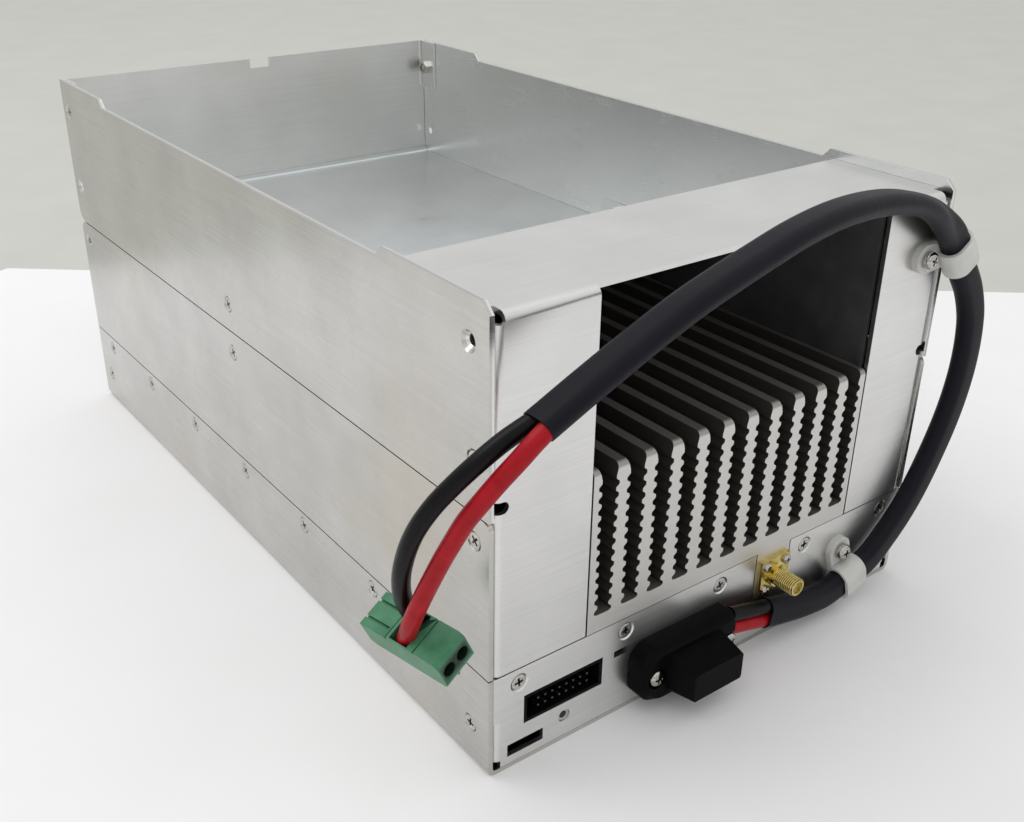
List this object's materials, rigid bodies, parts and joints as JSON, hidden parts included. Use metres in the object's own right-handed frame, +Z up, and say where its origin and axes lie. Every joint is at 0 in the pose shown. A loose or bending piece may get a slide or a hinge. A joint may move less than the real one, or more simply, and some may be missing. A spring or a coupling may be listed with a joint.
{
  "type": "rf power amplifier",
  "caption": "RF power amplifier module in a folded aluminium case with an open tray on top, a finned heat sink behind the front cover, panel connectors and a clipped power lead.",
  "frame": {"origin": "middle of the case's footprint on the surface it stands on", "axes": "+X to the right seen from the connector end, the connector face looks towards -Y, +Z up"},
  "size_m": [0.2243, 0.341, 0.1517],
  "materials": {
    "bare_aluminium": "bare mill finish, fine rolling grain, handling marks",
    "black_anodised_aluminium": "black anodised with bare sawn ends",
    "black_painted_sheet": "matt black",
    "zinc_plated_steel": "bright zinc plate",
    "gold_plate": "gold plate",
    "tinned_brass": "tin plate",
    "nickel_plate": "nickel plate",
    "white_ptfe": "plain white",
    "white_ceramic": "ceramic lids on gilt flanges",
    "black_nylon": "moulded, fine texture",
    "natural_nylon": "milky and slightly see-through",
    "green_nylon": "moulded green",
    "green_laminate": "solder mask",
    "blue_film": "shrink film",
    "black_pvc": "extruded insulation",
    "red_pvc": "extruded insulation",
    "black_sleeving": "satin shrink sleeving"
  },
  "bodies": {
    "chassis": {"bottom_cover": "bare_aluminium", "front_lower_panel": "bare_aluminium", "rear_lower_panel": "bare_aluminium", "side_plate_left": "bare_aluminium", "side_plate_right": "bare_aluminium", "tray_wall_left": "bare_aluminium", "tray_wall_right": "bare_aluminium", "front_cover": "bare_aluminium", "rear_cover": "bare_aluminium", "tray_floor": "bare_aluminium", "seam_joiner_left": "bare_aluminium", "seam_joiner_right": "bare_aluminium", "heat_sink": "black_anodised_aluminium", "duct_cheek_left": "black_painted_sheet", "duct_cheek_right": "black_painted_sheet", "side_screws_left": "zinc_plated_steel", "side_screws_right": "zinc_plated_steel", "front_panel_screws": "zinc_plated_steel", "rear_panel_screws": "zinc_plated_steel", "tab_nuts": "zinc_plated_steel", "clinch_nut": "zinc_plated_steel", "header_shroud": "black_nylon", "header_pins": "tinned_brass", "sma_body": "gold_plate", "sma_insulator": "white_ptfe", "sma_contact": "gold_plate", "sma_screws": "zinc_plated_steel", "power_socket": "black_nylon", "plug_hood": "black_nylon", "hood_screws": "zinc_plated_steel", "lower_clip": "natural_nylon", "upper_clip": "natural_nylon", "clip_screws": "zinc_plated_steel", "clip_washers": "zinc_plated_steel", "root_wire_black": "black_pvc", "root_wire_red": "red_pvc", "cable_sleeve": "black_sleeving", "tail_wire_black": "black_pvc", "tail_wire_red": "red_pvc", "terminal_plug": "green_nylon", "terminal_contacts": "tinned_brass", "wire_ferrules": "tinned_brass", "rf_board": "green_laminate", "board_screws": "zinc_plated_steel", "power_transistors": "white_ceramic", "isolator": "nickel_plate", "supply_capacitors": "blue_film", "output_jack": "nickel_plate", "output_insulator": "white_ptfe", "output_contact": "gold_plate", "output_screws": "zinc_plated_steel"},
    "black_screw": {"clamp_screw_black": "zinc_plated_steel"},
    "red_screw": {"clamp_screw_red": "zinc_plated_steel"},
    "black_cage": {"clamp_cage_black": "tinned_brass"},
    "red_cage": {"clamp_cage_red": "tinned_brass"}
  },
  "joints": [
    {"name": "black_screw_turn", "type": "hinge", "parent": "chassis", "child": "black_screw", "pos_m": [-0.10137, -0.15743, 0.05481], "axis": [0.2079, -0.9781, 0], "range_deg": [0, 1440]},
    {"name": "red_screw_turn", "type": "hinge", "parent": "chassis", "child": "red_screw", "pos_m": [-0.10583, -0.15837, 0.05259], "axis": [0.2079, -0.9781, 0], "range_deg": [0, 1440]},
    {"name": "black_cage_slide", "type": "slide", "parent": "chassis", "child": "black_cage", "axis": [-0.2079, 0.9781, 0], "range_m": [0, 0.002]},
    {"name": "red_cage_slide", "type": "slide", "parent": "chassis", "child": "red_cage", "axis": [-0.2079, 0.9781, 0], "range_m": [0, 0.002]}
  ],
  "couplings": [
    {"joint": "black_screw_turn", "follows": "black_cage_slide", "rad_per_m": 12566},
    {"joint": "red_screw_turn", "follows": "red_cage_slide", "rad_per_m": 12566}
  ]
}
